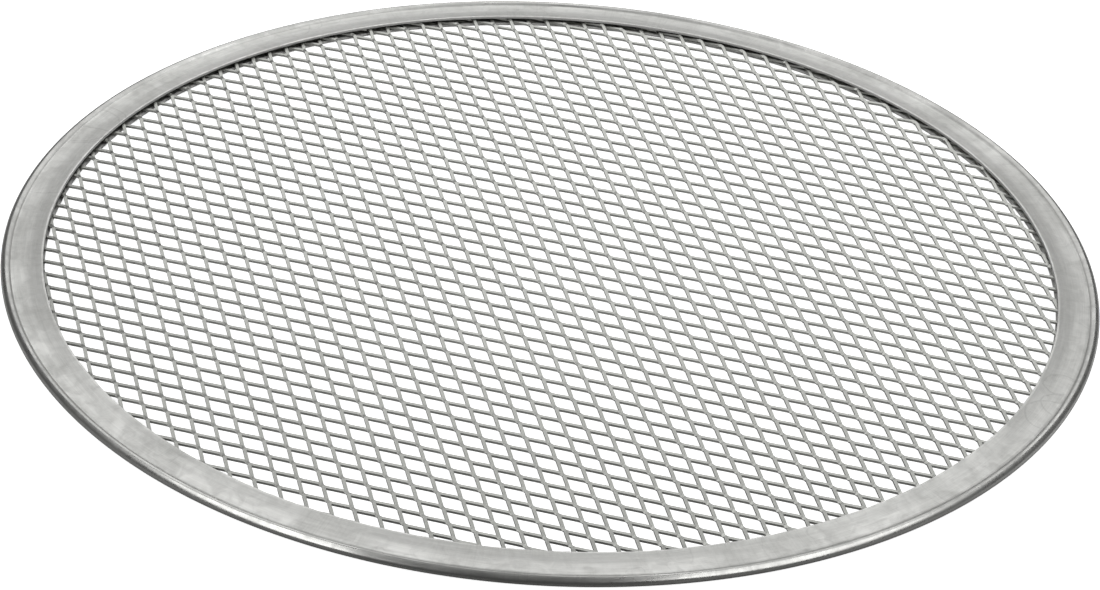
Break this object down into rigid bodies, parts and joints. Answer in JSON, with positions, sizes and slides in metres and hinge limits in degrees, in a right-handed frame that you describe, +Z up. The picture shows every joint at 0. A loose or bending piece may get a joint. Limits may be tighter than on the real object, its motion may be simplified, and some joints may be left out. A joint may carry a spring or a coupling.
{
  "type": "pizza screen",
  "caption": "Round pizza screen: expanded aluminium mesh disc held in a folded aluminium ring, for baking or cooling on an open surface.",
  "frame": {"origin": "middle of the flat underside of the ring, on the surface that the screen rests on", "axes": "+Z up, square to the mesh; +X along the long way of the diamonds"},
  "size_m": [0.3048, 0.3048, 0.003],
  "materials": {
    "rim_aluminium": "satin, worn and stained by baking",
    "mesh_aluminium": "satin, bare sheet as slit and stretched"
  },
  "bodies": {
    "root": {"rim": "rim_aluminium", "mesh_disc": "mesh_aluminium"}
  },
  "joints": []
}
